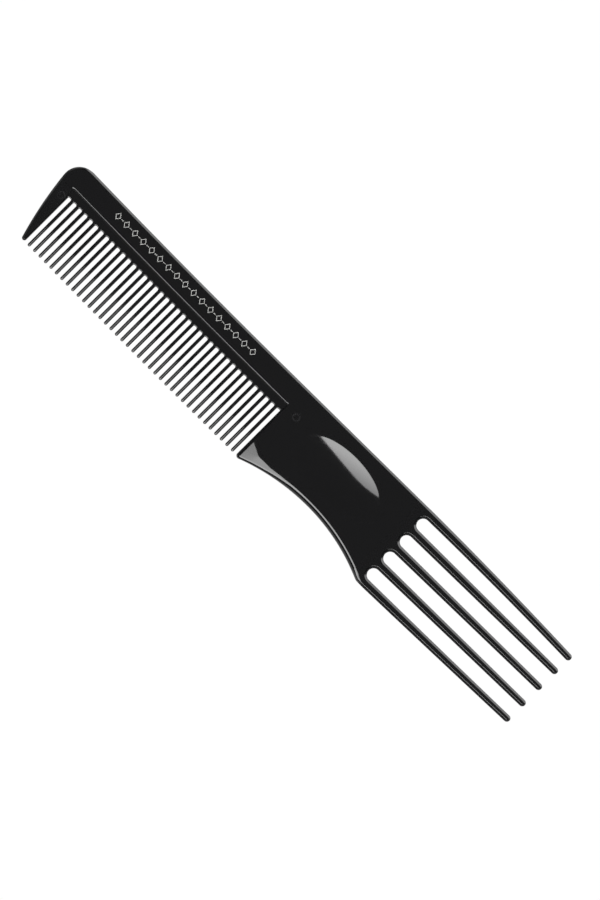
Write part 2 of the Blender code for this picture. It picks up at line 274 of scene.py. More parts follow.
# thick bar: rows are levels from the ledge to the edge, columns run from the outline to the handle
def makeSpineBar(material):
    steps = bevelSteps(spine["bevel"])
    levels = crowded(spine["ledgeLevel"], spine["edgeLevel"], 0.35, ledgeSteps, steps)
    across = crowded(0.0, spine["usualLength"], 0.5, steps * 1.1, np.array([0.0]))
    level, share = np.meshgrid(levels, across / spine["usualLength"], indexing="ij")
    left = leftOutline(level)
    x = left + (handleStartX - left) * share
    distance = np.maximum(outerDistance(x, level), 0.0)
    distance[-1, :] = 0.0
    distance[:, 0] = 0.0
    full = fullHalf - (fullHalf - spine["bandHalf"]) * ledgeShare(x, level)
    half = bevelHalf(distance, full, spine["bevel"])
    piece = plateMesh("spineBar", [(x, level + bow(x), half, distance, ("bottom", "right"))], material)
    settle(piece, "spine")


teeth = {
    "rootLevel": 4.18,
    "tipLevel": -13.82,
    "rootWidth": 1.05,
    "tipWidth": 1.0,
    "slotCorner": 0.4,       # radius in the corners of each slot
    "bendLevel": -5.0,       # the thickness runs nearly level down to here
    "bendSoftness": 2.2,
    "bendHalf": 1.36,
    "tipHalf": 0.43,
    "rim": 0.44,
    "rimDrop": 0.2,
    "slotEndRim": 0.3,       # round over the end of each slot
}


# both sides of every slot between the teeth at a level: the first slot has the guard on its left,
# the last one the handle on its right
def slotSides(level):
    t = np.clip((teeth["rootLevel"] - level) / (teeth["rootLevel"] - teeth["tipLevel"]), 0.0, 1.0)
    halfWidth = (teeth["rootWidth"] + (teeth["tipWidth"] - teeth["rootWidth"]) * t) / 2
    lefts = [np.full_like(level, guard["innerX"])] + [x + halfWidth for x in toothX]
    rights = [x - halfWidth for x in toothX] + [np.full_like(level, handleStartX)]
    return lefts, rights


# distance from a slot: a long box with rounded corners at its upper end
def slotDistance(x, level, left, right):
    corner = teeth["slotCorner"]
    across = np.abs(x - (left + right) / 2) - ((right - left) / 2 - corner)
    up = level - (teeth["rootLevel"] - corner)
    outside = np.hypot(np.maximum(across, 0.0), np.maximum(up, 0.0))
    return outside + np.minimum(np.maximum(across, up), 0.0) - corner


# rim width round a slot: narrow along the teeth, wider at the slot's end
def slotRim(level, sideRim):
    share = smoothStep(level, teeth["rootLevel"] - 0.5, teeth["rootLevel"])
    return sideRim + (teeth["slotEndRim"] - sideRim) * share


# thin band that the teeth grow from: columns are crowded at both corners of every slot
def makeToothBand(material):
    root = teeth["rootLevel"]
    rootLevels = np.array([root])
    lefts, rights = slotSides(rootLevels)
    corner = teeth["slotCorner"]
    columns = [guard["innerX"]]
    for left, right in zip(lefts, rights):
        gap = right[0] - left[0]
        inSlot = np.concatenate([
            np.linspace(0.0, corner, 5)[1:],
            np.linspace(corner, gap - corner, 4)[1:-1],
            np.linspace(gap - corner, gap, 5),
        ])
        columns += list(left[0] + inSlot)
        columns += list(right[0] + teeth["rootWidth"] * np.array([0.25, 0.5, 0.75, 1.0]))
    columns = np.array(columns)
    columns = columns[columns <= handleStartX + 1e-6]
    nearSlots, nearLedge = edgeSteps(teeth["slotEndRim"], 8), np.array([0.0, 0.05])
    levels = crowded(root, spine["ledgeLevel"], 0.3, nearSlots, nearLedge)
    level, x = np.meshgrid(levels, columns, indexing="ij")
    distance = np.full_like(x, farAway)
    for left, right in zip(lefts, rights):
        distance = np.minimum(distance, slotDistance(x, level, left[0], right[0]))
    distance = np.maximum(distance, 0.0)
    full = fullHalf - (fullHalf - spine["bandHalf"]) * ledgeShare(x, level)
    half = rimHalf(distance, full, slotRim(level, teeth["rim"]), teeth["rimDrop"])
    sheet = (x, level + bow(x), half, distance, ("bottom", "top", "left", "right"))
    piece = plateMesh("toothBand", [sheet], material)
    settle(piece, "spine")


# half thickness of a tooth: nearly level from the root, then an even slope to the tip
def toothFull(level):
    root, bend = teeth["rootLevel"], teeth["bendLevel"]
    first = (spine["bandHalf"] - teeth["bendHalf"]) / (root - bend)
    second = (teeth["bendHalf"] - teeth["tipHalf"]) / (bend - teeth["tipLevel"])
    pastBend = softRamp(bend - level, teeth["bendSoftness"])
    return spine["bandHalf"] - first * (root - level) - (second - first) * pastBend


# teeth: rows are levels from the rounded tip to the flared root, columns run across
def makeTeeth(material):
    root, corner = teeth["rootLevel"], teeth["slotCorner"]
    tipRadius = teeth["tipWidth"] / 2
    tipCentre = teeth["tipLevel"] + tipRadius
    turns = np.linspace(0.0, math.pi / 2, 9)
    levels = np.concatenate([
        tipCentre - tipRadius * np.cos(turns),
        np.linspace(tipCentre, root - corner, 26)[1:],
        root - corner + corner * np.sin(turns[1:]),
    ])
    steps = edgeSteps(teeth["rim"], 7) / teeth["rootWidth"]
    across = np.concatenate([steps, [0.5], 1 - steps[::-1]])
    level, share = np.meshgrid(levels, across, indexing="ij")
    lefts, rights = slotSides(level)
    inCorner = np.maximum(level - root + corner, 0.0)
    flare = corner - np.sqrt(np.maximum(corner ** 2 - inCorner ** 2, 0.0))
    inTip = level < tipCentre
    tipHalfWidth = np.sqrt(np.maximum(tipRadius ** 2 - (level - tipCentre) ** 2, 0.0))
    for i, name in enumerate(toothNames):
        halfWidth = (lefts[i + 1] - rights[i]) / 2 + flare
        halfWidth = np.where(inTip, tipHalfWidth, halfWidth)
        x = toothX[i] + (2 * share - 1) * halfWidth
        fromLeftSlot = slotDistance(x, level, lefts[i], rights[i])
        fromRightSlot = slotDistance(x, level, lefts[i + 1], rights[i + 1])
        distance = np.minimum(fromLeftSlot, fromRightSlot)
        distance = np.where(inTip, tipRadius - np.hypot(x - toothX[i], level - tipCentre), distance)
        distance = np.maximum(distance, 0.0)
        distance[:, 0] = 0.0
        distance[:, -1] = 0.0
        distance[0, :] = 0.0
        half = rimHalf(distance, toothFull(level), slotRim(level, teeth["rim"]), teeth["rimDrop"])
        piece = plateMesh(name.replace("_", ""), [(x, level + bow(x), half, distance, ("top",))], material)
        settle(piece, name)


ejectorMarks = {
    "places": ((-4.15, 6.15), (-96.3, 3.6)),
    "radius": 1.0,
    "ringWidth": 0.22,
    "ringDepth": 0.01,
    "ringStart": 0.01,       # strength from which a ring counts as rubbed
}


# the small round witness marks that the ejector pins leave: fine rings, 1 on the line of a ring
def witnessRings(x, y):
    rings = np.zeros_like(x)
    for place in ejectorMarks["places"]:
        away = np.hypot(x - place[0], y - place[1])
        offLine = (away - ejectorMarks["radius"]) / ejectorMarks["ringWidth"]
        rings = np.maximum(rings, np.exp(-offLine ** 2))
    return rings


guard = {
    "innerX": -94.42,
    "tipRadius": 0.75,
    "tipHalf": 1.0,
    "innerRim": 0.5,
    "usualWidth": 5.5,       # the columns' distances from the edges are true at this width
}


# broad outer tooth: rows are levels from the rounded tip to the ledge, columns from the outline inwards
def makeEndGuard(material):
    tipRadius, reachOut = guard["tipRadius"], spine["sideRadius"] - guard["tipRadius"]
    tipX0 = guard["innerX"] - tipRadius
    tipCentre = sideLevel - math.sqrt(reachOut ** 2 - (tipX0 - sideX) ** 2)
    contact = tipCentre + tipRadius * (tipCentre - sideLevel) / reachOut
    turns = np.linspace(0.0, math.pi / 2, 13)
    root = teeth["rootLevel"]
    levels = np.concatenate([
        tipCentre - tipRadius * np.cos(turns),
        np.linspace(tipCentre, root - 0.6, 40)[1:],
        np.linspace(root - 0.6, root + 0.7, 14)[1:],
        np.linspace(root + 0.7, spine["ledgeLevel"], 12)[1:],
    ])
    steps = bevelSteps(spine["bevel"]) / guard["usualWidth"]
    inner = edgeSteps(guard["innerRim"], 7) / guard["usualWidth"]
    across = np.concatenate([steps, np.linspace(steps[-1], 1 - inner[-1], 26)[1:-1], 1 - inner[::-1]])
    level, share = np.meshgrid(levels, across, indexing="ij")
    reach = np.sqrt(np.maximum(tipRadius ** 2 - (level - tipCentre) ** 2, 0.0))
    left = np.where(level < contact, tipX0 - reach, leftOutline(level))
    right = np.where(level < tipCentre, tipX0 + reach, guard["innerX"])
    x = left + (right - left) * share
    fromTip = tipRadius - np.hypot(x - tipX0, level - tipCentre)
    fromInner = slotDistance(x, level, guard["innerX"], toothX[0] - teeth["rootWidth"] / 2)
    fromInner = np.where(level < tipCentre, np.minimum(fromTip, fromInner), fromInner)
    fromSide = outerDistance(x, level)
    fromSide = np.where(level < contact, np.minimum(fromTip, fromSide), fromSide)
    fromSide, fromInner = np.maximum(fromSide, 0.0), np.maximum(fromInner, 0.0)
    fromSide[1:, 1:] = np.maximum(fromSide[1:, 1:], 0.002)
    fromInner[1:, 1:-1] = np.maximum(fromInner[1:, 1:-1], 0.002)
    fromSide[:, 0] = 0.0
    fromSide[0, :] = 0.0
    towardsTip = np.clip((root + 2 - level) / (root + 2 - levels[0]), 0.0, 1.0)
    thinning = (fullHalf - guard["tipHalf"]) * towardsTip
    fade = smoothStep(level, root - 2.5, root)
    full = fullHalf - thinning - (fullHalf - spine["bandHalf"]) * ledgeShare(x, level) * fade
    half = np.minimum(
        bevelHalf(fromSide, full, spine["bevel"]),
        rimHalf(fromInner, full, slotRim(level, guard["innerRim"])),
    )
    y = level + bow(x)
    distance = np.minimum(fromSide, fromInner)
    rings = witnessRings(x, y)
    half = half - ejectorMarks["ringDepth"] * rings
    rubbed = np.minimum(distance, gloss["rubbedWidth"] * (1 - rings))
    distance = np.where(rings > ejectorMarks["ringStart"], rubbed, distance)
    piece = plateMesh("endGuard", [(x, y, half, distance, ("top", "right"))], material)
    settle(piece, "end_guard")


dish = {
    "centre": (16.05, 2.9),
    "halfLength": 15.3,
    "halfWidth": 7.2,
    "depth": 0.75,
    "rimSoftness": 0.02,
}


# thumb dish: an oval bowl whose depth falls off with the square of the distance from its middle
def dishDrop(x, y):
    along = (x - dish["centre"][0]) / dish["halfLength"]
    across = (y - dish["centre"][1]) / dish["halfWidth"]
    softness = dish["rimSoftness"]
    return softRamp(dish["depth"] * (1 - along ** 2 - across ** 2), softness) - softness ** 2


handle = {
    "waistX": 16.1,
    "waistY": -9.48,
    "heelArc": 66.5,         # hollow arc from the waist to the heel
    "forkArc": 60.0,         # and from the waist to the fork
    "heelRadius": 1.0,
    "rims": ((-9.0, 0.8), (0.0, 0.95), (9.0, 1.52)),   # rim width along x
    "innerRim": 1.05,
    "facetLine": ((-7.56, -7.28), (-3.68, -9.22)),
    "facetSlope": 0.12,
    "bevelWidths": ((-9.0, 3.6), (-3.7, 3.2), (0.8, 2.1), (6.6, 1.75), (16.8, 1.3)),
    "bevelSlope": 0.115,
}


# y of the handle's lower edge: one hollow arc on each side of the waist
def waistEdge(x):
    radius = np.where(x < handle["waistX"], handle["heelArc"], handle["forkArc"])
    return handle["waistY"] - radius + np.sqrt(radius ** 2 - (x - handle["waistX"]) ** 2)


def waistDistance(x, y):
    radius = np.where(x < handle["waistX"], handle["heelArc"], handle["forkArc"])
    return np.hypot(x - handle["waistX"], y - handle["waistY"] + radius) - radius


# waisted plate with its heel: columns run along x, rows from the lower edge up to the spine's edge
def makeHandle(material):
    radius = handle["heelRadius"]
    heelX = handleStartX + radius
    arcCentreY = handle["waistY"] - handle["heelArc"]
    heelY = arcCentreY + math.sqrt((handle["heelArc"] + radius) ** 2 - (handle["waistX"] - heelX) ** 2)
    contactX = heelX + radius * (handle["waistX"] - heelX) / (handle["heelArc"] + radius)
    columns = np.concatenate([
        handleStartX + edgeSteps(handle["innerRim"], 13),
        np.linspace(handleStartX + edge["draft"] + handle["innerRim"], -2.4, 60)[1:],
        np.linspace(-2.4, handleEndX, 185)[1:],
    ])
    alongHeel = np.minimum(columns, heelX + radius) - heelX
    fillet = heelY - np.sqrt(np.maximum(radius ** 2 - alongHeel ** 2, 0.0))
    low = np.where(columns < contactX, fillet, waistEdge(columns))
    high = spine["edgeLevel"] + bow(columns)
    lowRows = low + edgeSteps(handle["rims"][-1][1], 13)[:, None]
    y = rowsBetween(lowRows, high - bevelSteps(spine["bevel"])[::-1, None], 118)
    x = np.tile(columns, (len(y), 1))
    level = y - bow(x)
    fromTop = np.maximum(high - y, 0.0)
    fromTop[-1, :] = 0.0
    fromHeel = radius - np.hypot(x - heelX, y - heelY)
    turn = np.degrees(np.arctan2(heelY - y, heelX - x))
    contactTurn = math.degrees(math.acos((handle["waistX"] - heelX) / (handle["heelArc"] + radius)))
    inHeel = (turn > 0) & (turn < 180 - contactTurn)
    fromLow = np.where(inHeel, fromHeel, waistDistance(x, y))
    above = np.maximum(level - teeth["rootLevel"], 0.0)
    fromInner = np.hypot(x - handleStartX, above)
    fromInner = np.where(inHeel, fromHeel, fromInner)
    fromLow, fromInner = np.maximum(fromLow, 0.0), np.maximum(fromInner, 0.0)
    fromLow[0, :] = 0.0
    innerRim = handle["innerRim"] + (teeth["slotEndRim"] - handle["innerRim"]) * smoothStep(level, 0.0, 3.5)
    full = fullHalf - (fullHalf - spine["bandHalf"]) * ledgeShare(x, level) * smoothStep(level, 1.5, 3.5)
    (x0, y0), (x1, y1) = handle["facetLine"]
    length = math.hypot(x1 - x0, y1 - y0)
    pastLine = ((x - x0) * (y1 - y0) - (y - y0) * (x1 - x0)) / length
    facet = handle["facetSlope"] * softRamp(pastLine, 0.1)
    places, widths = zip(*handle["bevelWidths"])
    bevel = handle["bevelSlope"] * softRamp(np.interp(x, places, widths) - fromLow, 0.1)
    full = full - (facet ** 4 + bevel ** 4) ** 0.25
    rim = np.interp(x, *zip(*handle["rims"]))
    half = np.minimum(bevelHalf(fromTop, full, spine["bevel"]), rimHalf(fromLow, full, rim))
    half = np.minimum(half, rimHalf(fromInner, full, innerRim))
    distance = np.minimum(np.minimum(fromTop, fromLow), fromInner)
    rings = witnessRings(x, y)
    half = half - np.where(distance > 0.5, ejectorMarks["ringDepth"] * rings + dishDrop(x, y), 0.0)
    rubbed = np.minimum(distance, gloss["rubbedWidth"] * (1 - rings))
    distance = np.where(rings > ejectorMarks["ringStart"], rubbed, distance)
    piece = plateMesh("handlePlate", [(x, y, half, distance, ("left", "right"))], material)
    settle(piece, "handle")


fork = {
    "pitch": 6.66,
    "slotX": 43.2,
    "slotRadius": 1.9,
    "rootWidth": 2.86,
    "tipWidth": 2.1,
    "tipY": (12.75, 7.22, 0.79, -5.77, -11.97),
    "bulge": (0.28, 0.0, 0.0, 0.0, -0.05),
    "gap": 0.3,
    "tipHalf": 1.0,
    "bevel": 0.66,
    "tipBevel": 0.58,
}


# half thickness of the plate before its rims: level over the handle, thinning along the fork
def forkHalf(x):
    share = np.clip((x - handleEndX) / (tipX - handleEndX), 0.0, 1.0)
    return fullHalf + (fork["tipHalf"] - fullHalf) * share


# middle line and half width of a prong along x
def prongMiddle(number, x):
    start = fork["slotX"] + fork["gap"]
    run = tipX - fork["tipWidth"] / 2 - start
    t = np.clip((x - start) / run, 0.0, 1.0)
    rootY = fork["pitch"] * ((len(prongNames) - 1) / 2 - number)
    middle = rootY + (fork["tipY"][number] - rootY) * t + fork["bulge"][number] * 4 * t * (1 - t)
    halfWidth = (fork["rootWidth"] + (fork["tipWidth"] - fork["rootWidth"]) * t) / 2
    return middle, halfWidth


# fork: one strip of grid for each prong, from the handle to its rounded tip; neighbouring strips share
# the line from the handle to the end of the slot between them
def makeFork(material):
    slotX, slotRadius = fork["slotX"], fork["slotRadius"]
    tipRadius = fork["tipWidth"] / 2
    turns = np.linspace(0.0, math.pi / 2, 31)
    slotStart = slotX - slotRadius
    columns = np.concatenate([
        crowded(handleEndX, slotStart, 0.25, np.array([0.0]), bevelSteps(fork["bevel"])),
        (slotX - slotRadius * np.cos(turns))[1:],
        np.linspace(slotX, tipX - tipRadius, 64)[1:],
        (tipX - tipRadius + tipRadius * np.sin(turns[::2]))[1:],
    ])
    alongProng = np.clip((columns - slotX) / (tipX - slotX), 0.0, 1.0)
    widths = fork["bevel"] + (fork["tipBevel"] - fork["bevel"]) * alongProng
    steps = bevelSteps(widths)
    slotRows = np.sqrt(np.maximum((slotRadius + steps) ** 2 - (columns - slotX) ** 2, 0.0))
    count = len(prongNames)
    rootY = [fork["pitch"] * ((count - 1) / 2 - number) for number in range(count)]
    slotY = [(rootY[number] + rootY[number + 1]) / 2 for number in range(count - 1)]
    sideY = rootY[0] + fork["rootWidth"] / 2
    edgeLine = spine["edgeLevel"] + bow(columns)
    edgeLine = edgeLine + (sideY - spine["edgeLevel"] - bow(slotX)) * smoothStep(columns, handleEndX, slotX)
    rootShare = 1 - smoothStep(columns, handleEndX, slotX)
    topWidths = widths + (spine["bevel"] - fork["bevel"]) * rootShare
    kink = 0.2 * smoothStep(columns, handleEndX, handleEndX + 1.5) + 1e-6
    gripLine = softRamp(waistEdge(np.minimum(columns, slotX)) + sideY, kink) - sideY
    x = np.tile(columns, (2 * len(steps) + 12, 1))
    topEdge, lowEdge = np.tile(edgeLine, (len(x), 1)), np.tile(gripLine, (len(x), 1))
    beforeSlot = x < slotX
    inTip = x > tipX - tipRadius
    sheets = []
    for number in range(count):
        middle, halfWidth = prongMiddle(number, columns)
        pastTip = np.maximum(columns - tipX + tipRadius, 0.0)
        tipReach = np.sqrt(np.maximum(tipRadius ** 2 - pastTip ** 2, 0.0))
        halfWidth = np.where(columns > tipX - tipRadius, tipReach, halfWidth)
        squeezed = steps * tipReach / tipRadius
        highWidths = topWidths if number == 0 else widths
        highRoot = edgeLine - bevelSteps(topWidths) if number == 0 else slotY[number - 1] - slotRows
        lowRoot = gripLine + steps if number == count - 1 else slotY[number] + slotRows
        highRows = np.where(columns < slotX, highRoot, middle + halfWidth - squeezed)
        lowRows = np.where(columns < slotX, lowRoot, middle - halfWidth + squeezed)
        y = rowsBetween(lowRows, highRows[::-1], 12)
        nearSlots = np.min([np.hypot(x - slotX, y - centre) for centre in slotY], axis=0) - slotRadius
        fromHigh = topEdge - y
        fromLow = np.minimum(y - lowEdge, np.where(x < slotX - 1.0, waistDistance(x, y), farAway))
        fromHigh = np.where(beforeSlot, fromHigh, middle + halfWidth - y)
        fromLow = np.where(beforeSlot, fromLow, y - middle + halfWidth)
        fromTip = tipRadius - np.hypot(x - tipX + tipRadius, y - middle)
        fromHigh, fromLow = np.where(inTip, fromTip, fromHigh), np.where(inTip, fromTip, fromLow)
        pastRoot = x[0] >= slotStart - 1e-9
        onHigh = (number == 0) | pastRoot
        onLow = (number == count - 1) | pastRoot
        fromHigh[-1, onHigh] = 0.0
        fromLow[0, onLow] = 0.0
        fromHigh[:, -1] = 0.0
        nearSlots = np.where(beforeSlot, nearSlots, farAway)
        fromHigh, fromLow, nearSlots = [np.maximum(d, 0.0) for d in (fromHigh, fromLow, nearSlots)]
        full = forkHalf(x)
        half = np.minimum(bevelHalf(fromHigh, full, highWidths), bevelHalf(fromLow, full, widths))
        half = np.minimum(half, bevelHalf(nearSlots, full, fork["bevel"]))
        if number == count - 1:
            gripRim = rimHalf(fromLow, full, handle["rims"][-1][1])
            grip = np.minimum(bevelHalf(fromHigh, full, highWidths), gripRim)
            grip = np.minimum(grip, bevelHalf(nearSlots, full, fork["bevel"]))
            half = half + (grip - half) * rootShare
        distance = np.minimum(np.minimum(fromHigh, fromLow), nearSlots)
        sheets.append((x, y, half, distance, ("left",)))
    piece = plateMesh("prongFork", sheets, material)
    settle(piece, "fork_root", *prongNames)


# printed marks: thin films of white ink along the bar, in one even row of diamonds and dashes
printing = {
    "level": 10.6,
    "film": 0.02,            # how proud the ink stands
    "stroke": 0.2,
    "start": -80.5,          # middle of the first diamond
    "spacing": 3.4,
    "diamonds": 17,
    "diamondWidth": 1.7,
    "diamondHeight": 2.1,
    "dashLength": 0.9,       # one dash between each two diamonds
}


# a closed line through the four corners of a diamond whose middle is at x
def diamondPath(x):
    across, up = printing["diamondWidth"] / 2, printing["diamondHeight"] / 2
    return np.array([[x, up], [x - across, 0.0], [x, -up], [x + across, 0.0]])


# a flat film of ink along a path: a rectangle of the stroke's width carried along it
def inkStroke(path, closed):
    ahead = np.roll(path, -1, 0) - path
    behind = path - np.roll(path, 1, 0)
    if not closed:
        ahead[-1], behind[0] = behind[-1], ahead[0]
    ahead = ahead / np.linalg.norm(ahead, axis=1)[:, None]
    behind = behind / np.linalg.norm(behind, axis=1)[:, None]
    along = ahead + behind
    along = along / np.linalg.norm(along, axis=1)[:, None]
    mitre = 1 / np.maximum(np.sum(along * ahead, axis=1), 0.5)
    side = np.stack([-along[:, 1], along[:, 0]], -1) * (printing["stroke"] / 2 * mitre)[:, None]
    lifts = middleZ + fullHalf + np.array([-printing["film"], printing["film"]])
    ring = []
    for offset, lift in ((side, lifts[0]), (side, lifts[1]), (-side, lifts[1]), (-side, lifts[0])):
        spot = path + offset
        y = spot[:, 1] + printing["level"] + bow(spot[:, 0])
        ring.append(np.stack([spot[:, 0], y, np.full(len(path), lift)], -1))
    points = np.stack(ring, 1).reshape(-1, 3)
    count = len(path)
    start = np.arange(count if closed else count - 1)[:, None] * 4
    after = (start + 4) % (4 * count)
    corner = np.arange(4)
    turn = (corner + 1) % 4
    quads = np.stack([start + corner, start + turn, after + turn, after + corner], -1)
    quads = quads.reshape(-1, 4).tolist()
    if not closed:
        quads += [[3, 2, 1, 0], [4 * count - 4, 4 * count - 3, 4 * count - 2, 4 * count - 1]]
    return points, quads


def makePrinting(material):
    strokes = []
    for i in range(printing["diamonds"]):
        x = printing["start"] + i * printing["spacing"]
        strokes.append((diamondPath(x), True))
        if i > 0:
            gap = x - printing["spacing"] / 2
            half = printing["dashLength"] / 2
            strokes.append((np.array([[gap - half, 0.0], [gap + half, 0.0]]), False))
    points, quads, base = [], [], 0
    for path, closed in strokes:
        spots, faces = inkStroke(path, closed)
        points.append(spots)
        quads += [[number + base for number in face] for face in faces]
        base += len(spots)
    mesh = bpy.data.meshes.new("printedMarks")
    mesh.from_pydata((np.concatenate(points) * mm).tolist(), [], quads)
    shape = bmesh.new()
    shape.from_mesh(mesh)
    bmesh.ops.recalc_face_normals(shape, faces=shape.faces)
    shape.to_mesh(mesh)
    shape.free()
    mesh.materials.append(material)
    piece = bpy.data.objects.new("printedMarks", mesh)
    bpy.context.scene.collection.objects.link(piece)
    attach(piece, "root")


# sRGB hex to the linear colour that a shader takes
def linearColour(hexCode):
    parts = np.array([int(hexCode[i:i + 2], 16) for i in (1, 3, 5)]) / 255
    linear = np.where(parts <= 0.04045, parts / 12.92, ((parts + 0.055) / 1.055) ** 2.4)
    return (*linear, 1.0)


def addNode(tree, kind, settings=None, links=None):
    node = tree.nodes.new(kind)
    for key, value in (settings or {}).items():
        if isinstance(key, str) and hasattr(node, key):
            setattr(node, key, value)
        else:
            node.inputs[key].default_value = value
    for key, source in (links or {}).items():
        tree.links.new(source, node.inputs[key])
    return node


def newMaterial(name):
    material = bpy.data.materials.new(name)
    material.use_nodes = True
    tree = material.node_tree
    return material, tree, tree.nodes["Principled BSDF"]


gloss = {
    "colour": "#0f0f10",
    "ior": 1.5,
    "roughness": 0.07,
    "rubbedColour": "#2b2b2c",
    "rubbedRoughness": 0.12,
    "rubbedWidth": 0.25,     # millimetres in from an edge
    "ripple": 0.003,         # height of the slow ripple, in millimetres
    "scratch": 0.0004,
}


# glossy black moulded plastic, such as hard styrene: a polished mould leaves it mirror-like, with a faint
# slow ripple, a little haze, fine scratches along its length and duller, paler rubbed edges
def mouldedBlackPlastic():
    material, tree, shader = newMaterial("mouldedBlackPlastic")
    place = addNode(tree, "ShaderNodeTexCoord").outputs["Object"]
    haze = addNode(tree, "ShaderNodeTexNoise", {"Scale": 1 / (6 * mm), "Detail": 5.0, "Roughness": 0.6},
                   {"Vector": place})
    edgeDistance = addNode(tree, "ShaderNodeAttribute", {"attribute_name": "edgeDistance"}).outputs["Fac"]
    speckle = addNode(tree, "ShaderNodeTexNoise", {"Scale": 1 / (5 * mm), "Detail": 2.0}, {"Vector": place})
    rubbed = addNode(tree, "ShaderNodeMapRange", {"From Min": gloss["rubbedWidth"], "From Max": 0.0},
                     {"Value": edgeDistance})
    rubbed = addNode(tree, "ShaderNodeMath", {"operation": "MULTIPLY"},
                     {0: rubbed.outputs["Result"], 1: speckle.outputs["Fac"]})
    tone = addNode(tree, "ShaderNodeMix", {"data_type": "RGBA"}, {0: rubbed.outputs[0]})
    tone.inputs[6].default_value = linearColour(gloss["colour"])
    tone.inputs[7].default_value = linearColour(gloss["rubbedColour"])
    tree.links.new(tone.outputs[2], shader.inputs["Base Color"])
    rough = addNode(tree, "ShaderNodeMapRange",
                    {"From Min": 0.3, "From Max": 0.7, "To Min": gloss["roughness"] - 0.015,
                     "To Max": gloss["roughness"] + 0.015}, {"Value": haze.outputs["Fac"]})
    rough = addNode(tree, "ShaderNodeMath", {"operation": "MULTIPLY_ADD", 1: gloss["rubbedRoughness"]},
                    {0: rubbed.outputs[0], 2: rough.outputs["Result"]})
    tree.links.new(rough.outputs[0], shader.inputs["Roughness"])
    ripple = addNode(tree, "ShaderNodeTexNoise", {"Scale": 1 / (4 * mm), "Detail": 1.0}, {"Vector": place})
    slow = addNode(tree, "ShaderNodeBump", {"Strength": 1.0, "Distance": gloss["ripple"] * mm},
                   {"Height": ripple.outputs["Fac"]})
    stretched = addNode(tree, "ShaderNodeMapping", {"Scale": (0.02, 1.0, 1.0)}, {"Vector": place})
    hairs = addNode(tree, "ShaderNodeTexNoise", {"Scale": 1 / (0.35 * mm), "Detail": 2.0},
                    {"Vector": stretched.outputs["Vector"]})
    lines = addNode(tree, "ShaderNodeMapRange", {"From Min": 0.68, "From Max": 0.76},
                    {"Value": hairs.outputs["Fac"]})
    fine = addNode(tree, "ShaderNodeBump",
                   {"Strength": 1.0, "Distance": gloss["scratch"] * mm, "invert": True},
                   {"Height": lines.outputs["Result"], "Normal": slow.outputs["Normal"]})
    tree.links.new(fine.outputs["Normal"], shader.inputs["Normal"])
    shader.inputs["IOR"].default_value = gloss["ior"]
    return material


# screen-printing ink: a chalky white film, thin enough for the black to dull it a little
def whitePrintInk():
    material, tree, shader = newMaterial("whitePrintInk")
    place = addNode(tree, "ShaderNodeTexCoord").outputs["Object"]
    grain = addNode(tree, "ShaderNodeTexNoise", {"Scale": 1 / (0.5 * mm), "Detail": 3.0}, {"Vector": place})
    tone = addNode(tree, "ShaderNodeMix", {"data_type": "RGBA"}, {0: grain.outputs["Fac"]})
    tone.inputs[6].default_value = linearColour("#8f8f8d")
    tone.inputs[7].default_value = linearColour("#bdbdba")
    tree.links.new(tone.outputs[2], shader.inputs["Base Color"])
    shader.inputs["Roughness"].default_value = 0.6
    return material


def makeFloor():
    half = 8.0
    level = -0.05 * mm
    mesh = bpy.data.meshes.new("floor")
    corners = [(-half, -half, level), (half, -half, level), (half, half, level), (-half, half, level)]
    mesh.from_pydata(corners, [], [(0, 1, 2, 3)])
    material, tree, shader = newMaterial("whiteTable")
    shader.inputs["Base Color"].default_value = (0.0, 0.0, 0.0, 1.0)
    shader.inputs["Roughness"].default_value = 1.0
    shader.inputs["Specular IOR Level"].default_value = 0.0
    shader.inputs["Emission Color"].default_value = (1.0, 1.0, 1.0, 1.0)
    shader.inputs["Emission Strength"].default_value = 1.01
    mesh.materials.append(material)
    floor = bpy.data.objects.new("floor", mesh)
    bpy.context.scene.collection.objects.link(floor)
    floor.visible_glossy = False


view = {
    "frameHeight": 256.9,     # millimetres across the tall side of the frame
    "distance": 2000.0,
    "turn": 45.0,             # degrees, so that the comb runs from upper left to lower right
    "centre": (3.17, 0.38),   # the point of the table that the camera looks straight down on
}


def makeCamera():
    camera = bpy.data.cameras.new("camera")
    camera.sensor_fit = "VERTICAL"
    camera.sensor_height = 24.0
    camera.lens = camera.sensor_height * view["distance"] / view["frameHeight"]
    camera.clip_end = 50.0
    item = bpy.data.objects.new("camera", camera)
    item.location = (view["centre"][0] * mm, view["centre"][1] * mm, view["distance"] * mm)
    item.rotation_euler = (0.0, 0.0, math.radians(view["turn"]))
    bpy.context.scene.collection.objects.link(item)
    bpy.context.scene.camera = item


# a slanted softbox to the lower left of the camera's view: its corners as slopes from overhead, along
# the view's right and its up
softbox = {
    "corners": (
        (-0.14, -0.095), (-0.175, -0.066), (-0.95, 0.028), (-0.95, -0.45),
        (-0.45, -0.95), (0.4, -0.95), (0.0, -0.458),
    ),
    "height": 1.5,
    "radiance": 9.6,
    "edgeRadiance": 5.2,     # along its upper edge
    "fadeSlope": 0.21,       # from the upper edge to full brightness
}


